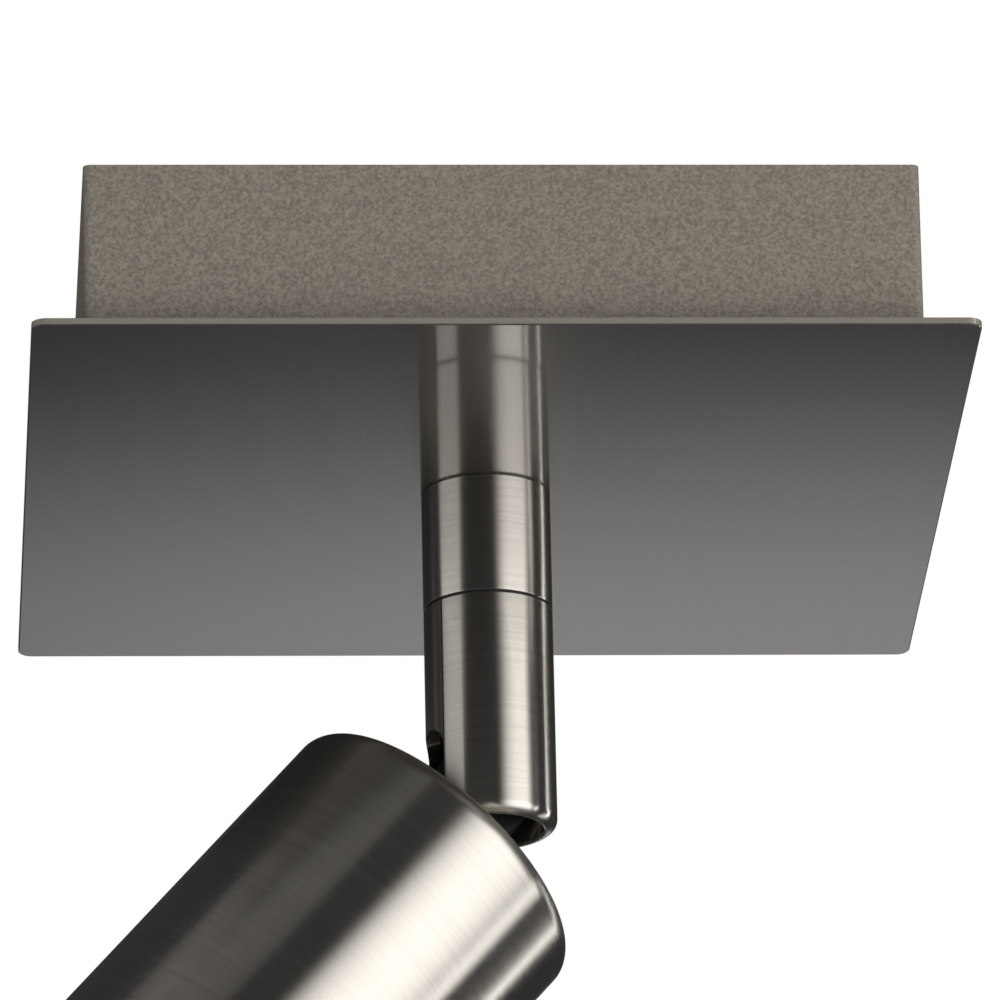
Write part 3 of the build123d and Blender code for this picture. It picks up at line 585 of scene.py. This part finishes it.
def bore_through(mesh, bore, top, bottom, segments):
    """Adds the wall of a bore to an open thread, and bridges both of its ends."""
    rings = []
    for z in (bottom, top):
        angles = [tau * step / segments for step in range(segments)]
        rings.append([mesh.verts.new((bore * cos(angle), bore * sin(angle), z)) for angle in angles])
    low, high = rings
    for step in range(segments):
        after = (step + 1) % segments
        mesh.faces.new((low[step], high[step], high[after], low[after]))
    loose = [edge for edge in mesh.edges if edge.is_boundary]
    for z in (bottom, top):
        level = [edge for edge in loose if all(abs(vertex.co.z - z) < 1e-5 for vertex in edge.verts)]
        bmesh.ops.bridge_loops(mesh, edges=level)


def threads():
    """The nipple's and the studs' threads."""
    nipple_bore, nipple_pitch = 3.5 * MM, 1.0 * MM
    stud_radius, stud_pitch = 2.0 * MM, 0.7 * MM
    mesh = thread("nipple_thread", NIPPLE_RADIUS, nipple_bore, NIPPLE_HIGH.z, NIPPLE_LOW.z, nipple_pitch)
    piece("nipple_thread", mesh, BASE, "base", "zinc_steel", "threaded_nipple")
    low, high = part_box("plate_studs")
    meshes = []
    for x in (low.x + stud_radius, high.x - stud_radius):
        for y in (low.y + stud_radius, high.y - stud_radius):
            mesh = thread("stud_thread", stud_radius, 0, high.z, low.z, stud_pitch, segments=32)
            mesh.transform(Matrix.Translation((x, y, 0)))
            meshes.append(mesh)
    piece("stud_threads", joined("stud_threads", meshes), BASE, "base", "zinc_steel", "plate_studs")


def softened(node, body, slot, width):
    """A copy of a moulded or cast CAD node with its sharp edges rounded over."""
    name = f"{node}_softened"
    source = frame["nodes"][node]
    mesh = bmesh.new()
    mesh.from_mesh(source.data)
    bmesh.ops.remove_doubles(mesh, verts=mesh.verts, dist=2e-6)
    bmesh.ops.dissolve_limit(mesh, angle_limit=radians(0.6), verts=mesh.verts, edges=mesh.edges)
    thing = added("work", finished(name, mesh))
    bevel = thing.modifiers.new("soften", "BEVEL")
    bevel.width = width
    bevel.segments = 3
    bevel.limit_method = "ANGLE"
    bevel.angle_limit = SHARP
    bevel.use_clamp_overlap = True
    mesh = applied(thing)
    bpy.data.objects.remove(thing)
    piece(name, finished(name, mesh), source.matrix_world.copy(), body, slot, node)


# ---------------------------------------------------------------- lamp
LENS_LOW, LENS_HIGH = box_in(HEAD, "lamp_lens")
CHIPS_LOW, CHIPS_HIGH = box_in(HEAD, "lamp_diodes")
EMITTER_CIRCLE = 13 * MM
ON_AXIS = 0.0002 * MM


def emitters():
    """The middles of the seven emitters: one on the axis, and six in a circle round it."""
    around = [tau * turn / 6 for turn in range(6)]
    return [(0.0, 0.0)] + [(EMITTER_CIRCLE * cos(angle), EMITTER_CIRCLE * sin(angle)) for angle in around]


def shifted(mesh, x, y):
    """Moves mesh data sideways."""
    mesh.transform(Matrix.Translation((x, y, 0)))
    return mesh


def lens():
    """The clear front: a rim round a sunk face, with seven shallow domes and a collimator behind each."""
    radius, front, back = LENS_HIGH.x, LENS_LOW.z, LENS_HIGH.z
    face, rim_foot, rim_top = front + 0.5 * MM, radius - 1.9 * MM, radius - 1.3 * MM
    corners = [
        (ON_AXIS, face, 0),
        (rim_foot, face, 0.2 * MM),
        (rim_top, front, 0.2 * MM),
        (radius, front, 0.4 * MM),
        (radius, back, 0.2 * MM),
        (ON_AXIS, back, 0),
    ]
    meshes = [lathe("lens_face", rounded(corners), segments=128)]
    dome_radius, dome_height, dome_base = 5.6 * MM, 0.42 * MM, front + 0.6 * MM
    quarter = [pi / 2 * step / 8 for step in range(9)]
    bulge = [(dome_radius * cos(angle), face - dome_height * sin(angle)) for angle in quarter]
    bulge[-1] = (ON_AXIS, bulge[-1][1])
    cup_tip, cup_flare, cup_curve = 2.4 * MM, 3.6 * MM, 0.6
    cup_low, cup_high = back + 0.05 * MM, CHIPS_LOW.z - 0.1 * MM
    flank = []
    for share in [step / 8 for step in range(9)]:
        flank.append((cup_tip + cup_flare * (1 - share) ** cup_curve, cup_low + (cup_high - cup_low) * share))
    for x, y in emitters():
        dome = lathe("dome", [(ON_AXIS, dome_base), (dome_radius, dome_base), *bulge], segments=40)
        cup = lathe("collimator", [(ON_AXIS, cup_low), *flank, (ON_AXIS, cup_high)], segments=40)
        meshes += [shifted(dome, x, y), shifted(cup, x, y)]
    piece("lens_optics", joined("lens_optics", meshes), HEAD, "lamp", "lens_clear", "lamp_lens")


def diodes():
    """Seven emitters: a white square package with chamfered edges, and a yellow phosphor dome on each."""
    base, tip, half, chamfer = CHIPS_HIGH.z, CHIPS_LOW.z, 1.5 * MM, 0.12 * MM
    middle = base + (tip - base) * 0.55
    reach, sunk = 1.25 * MM, middle - (tip - middle) * 0.1
    quarter = [pi / 2 * step / 6 for step in range(6)]
    arc = [(reach * cos(angle), middle + (tip - middle) * sin(angle)) for angle in quarter]
    packages, domes = [], []
    for x, y in emitters():
        mesh = bmesh.new()
        near = [mesh.verts.new((x + side_x * half, y + side_y * half, base)) for side_x, side_y in SQUARE]
        far = [mesh.verts.new((vertex.co.x, vertex.co.y, middle)) for vertex in near]
        walled(mesh, near, far)
        bmesh.ops.bevel(mesh, geom=mesh.edges[:], offset=chamfer, segments=2, affect="EDGES", profile=0.5)
        bmesh.ops.recalc_face_normals(mesh, faces=mesh.faces)
        packages.append(finished("package", mesh))
        dome = lathe("dome", [(ON_AXIS, sunk), (reach, sunk), *arc, (ON_AXIS, tip)], segments=32)
        domes.append(shifted(dome, x, y))
    piece("diode_packages", joined("diode_packages", packages), HEAD, "lamp", "board_aluminium")
    piece("diode_domes", joined("diode_domes", domes), HEAD, "lamp", "diode_yellow", "lamp_diodes")


stem_upper()
stem_lower()
housing()
threads()
lens()
diodes()
softened("tilt_knuckle", "head", "black_metal", 0.3 * MM)
softened("tilt_fork", "swivel", "black_metal", 0.25 * MM)
softened("terminal_block", "base", "terminal_plastic", 0.2 * MM)
softened("lamp_holder", "head", "ceramic", 0.25 * MM)


# ---------------------------------------------------------------- camera
TARGET = Vector((0, 0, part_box("face_plate")[0].z))
CAMERA_PLACE = (-0.1090, -1.9503, -0.7810)
CAMERA_YAW, CAMERA_PITCH, CAMERA_ROLL = radians(3.268), radians(20.99), radians(-1.26)
CAMERA_LENS = 462.6


def camera():
    """A long lens at the fixture's front, below it and a little to the left."""
    x, y, flat = sin(CAMERA_YAW), cos(CAMERA_YAW), cos(CAMERA_PITCH)
    ahead = Vector((x * flat, y * flat, sin(CAMERA_PITCH)))
    level = Vector((y, -x, 0))
    above = level.cross(ahead)
    right = level * cos(CAMERA_ROLL) + above * sin(CAMERA_ROLL)
    over = above * cos(CAMERA_ROLL) - level * sin(CAMERA_ROLL)
    data = bpy.data.cameras.new("camera")
    data.lens = CAMERA_LENS
    data.clip_start, data.clip_end = 0.05, 30
    thing = added("camera", data)
    place = Matrix((right, over, -ahead)).transposed().to_4x4()
    place.translation = CAMERA_PLACE
    thing.matrix_world = place
    bpy.context.scene.camera = thing


camera()


# ---------------------------------------------------------------- studio
STUDIO_RADIUS = 1.2


def outward(azimuth, elevation):
    """The direction from the fixture to a light. Azimuth 0 is in front, and 90 is on the +X side."""
    turn, lift = radians(azimuth), radians(elevation)
    return Vector((sin(turn) * cos(lift), -cos(turn) * cos(lift), sin(lift)))


def aim(thing, azimuth, elevation, distance, lean=0):
    """Turns a light or a card towards the fixture, then leans it about its own middle."""
    away = outward(azimuth, elevation)
    facing = away.to_track_quat("Z", "Y").to_matrix() @ Matrix.Rotation(radians(lean), 3, "Z")
    thing.rotation_euler = facing.to_euler()
    thing.location = TARGET + away * distance
    thing.visible_camera = False


def softbox(name, azimuth, elevation, width, height, brightness, distance=STUDIO_RADIUS, lean=0, glossy=True):
    """An even rectangular light that faces the fixture."""
    data = bpy.data.lights.new(name, "AREA")
    data.shape = "RECTANGLE"
    data.size, data.size_y = width, height
    data.energy = brightness * pi * width * height
    light = added(name, data)
    aim(light, azimuth, elevation, distance, lean)
    light.visible_glossy = glossy


def card(name, width, height, colour, shade):
    """A flat card that glows. Shade takes its Look and gives the strength across it."""
    mesh = bmesh.new()
    mesh.faces.new([mesh.verts.new((x * width / 2, y * height / 2, 0)) for x, y in SQUARE])
    thing = added(name, finished(name, mesh))
    look = Look(name, (0, 0, 0), 1.0)
    look.set("Emission Strength", shade(look))
    look.set("Emission Color", (*colour, 1.0))
    give(thing, look.material)
    return thing


def key_card():
    """The main softbox: it fades out towards the front."""
    middle, elevation, half_angle, height, lean = 46, -13, 36, 1.5, 9
    levels = [
        (9, 0.0), (16, 0.40), (22, 1.0), (28, 1.6), (40, 2.05),
        (67, 2.1), (70, 1.1), (75, 0.3), (78, 0.0),
    ]
    width = 2 * STUDIO_RADIUS * tan(radians(half_angle))
    brightest = max(level for azimuth, level in levels)

    def stop(azimuth, level):
        share = level / brightest
        return 0.5 + STUDIO_RADIUS * tan(radians(azimuth - middle)) / width, (share, share, share)

    def shade(look):
        sideways = look.node("SeparateXYZ", look.place()).outputs["X"]
        across = look.node("MapRange", sideways, -width / 2, width / 2, 0.0, 1.0).outputs[0]
        ramp = look.ramp(across, [stop(azimuth, level) for azimuth, level in levels])
        return look.maths("MULTIPLY", ramp, brightest)

    thing = card("key_card", width, height, (1.0, 1.0, 1.0), shade)
    aim(thing, middle, elevation, STUDIO_RADIUS, lean)


def rear_card():
    """A card behind and below the fixture, which the plate mirrors: dark at the bottom, light at the
    top, and a little darker on the left."""
    place, width, height, tilt = (0.03, 0.5, -0.26), 0.24, 0.32, 0.04
    fade_low, fade_high = -0.008, 0.07
    left_edge, left_strength, right_strength = -0.10, 0.48, 0.60

    def shade(look):
        parts = look.node("SeparateXYZ", look.place())
        level = look.maths("MULTIPLY_ADD", parts.outputs["X"], tilt, parts.outputs["Y"])
        share = look.node("MapRange", level, fade_low, fade_high, 0.0, 1.0, interpolation_type="SMOOTHSTEP")
        full = look.node("MapRange", parts.outputs["X"], left_edge, 0.0, left_strength, right_strength)
        return look.maths("MULTIPLY", share.outputs[0], full.outputs[0])

    thing = card("rear_card", width, height, (1.0, 0.99, 0.975), shade)
    thing.location = place
    thing.rotation_euler = (pi / 2, 0, 0)
    thing.visible_camera = False


def surround(in_view, on_object):
    """A white world: bright where the camera sees it, and faint as a light on the fixture."""
    world = bpy.data.worlds.new("studio")
    bpy.context.scene.world = world
    world.use_nodes = True
    nodes, links = world.node_tree.nodes, world.node_tree.links
    background = nodes["Background"]
    path = nodes.new("ShaderNodeLightPath")
    level = nodes.new("ShaderNodeMapRange")
    level.inputs["To Min"].default_value = on_object
    level.inputs["To Max"].default_value = in_view
    links.new(path.outputs["Is Camera Ray"], level.inputs["Value"])
    links.new(level.outputs[0], background.inputs["Strength"])
    background.inputs["Color"].default_value = (1, 1, 1, 1)


def studio():
    """The cards and softboxes round the fixture, and the white surround."""
    key_card()
    rear_card()
    softbox("left", azimuth=-70.8, elevation=-12, width=0.90, height=1.41, brightness=0.95)
    softbox("key_edge", azimuth=82, elevation=-18, width=0.12, height=0.45, brightness=3.0)
    softbox("left_far", azimuth=-113, elevation=-10, width=0.16, height=1.41, brightness=0.08)
    softbox("strip", azimuth=116, elevation=-14, width=0.11, height=1.41, brightness=3.3, lean=14)
    softbox("rear", azimuth=174, elevation=15, width=0.12, height=0.6, brightness=1.5)
    softbox("overhead", azimuth=-30, elevation=54, width=1.15, height=0.9, brightness=0.11)
    unseen = {"distance": 1.6, "glossy": False}
    softbox("fill", azimuth=18, elevation=-25, width=1.6, height=1.0, brightness=4.0, **unseen)
    softbox("top", azimuth=180, elevation=78, width=1.2, height=1.2, brightness=1.4, **unseen)
    surround(in_view=1.0, on_object=0.042)
    bpy.context.scene.view_settings.view_transform = "Standard"


def floor():
    """A pale floor far below, with slight mottling. It glows, so that it looks evenly lit, and it throws
    no light on the fixture."""
    depth, half_side = 6, 12
    mesh = bmesh.new()
    bmesh.ops.create_grid(mesh, x_segments=8, y_segments=8, size=half_side)
    thing = added("floor", finished("floor", mesh))
    thing.location = (0, 0, -depth)
    look = Look("floor", (0.80, 0.80, 0.79), 0.9, Emission_Strength=1.0)
    mottle = look.noise(look.place(), scale=1.5, detail=3)
    look.set("Emission Color", look.tint(mottle, (0.83, 0.83, 0.82), (0.86, 0.86, 0.85)))
    give(thing, look.material)
    thing.visible_diffuse = False
    thing.visible_glossy = False


studio()
floor()
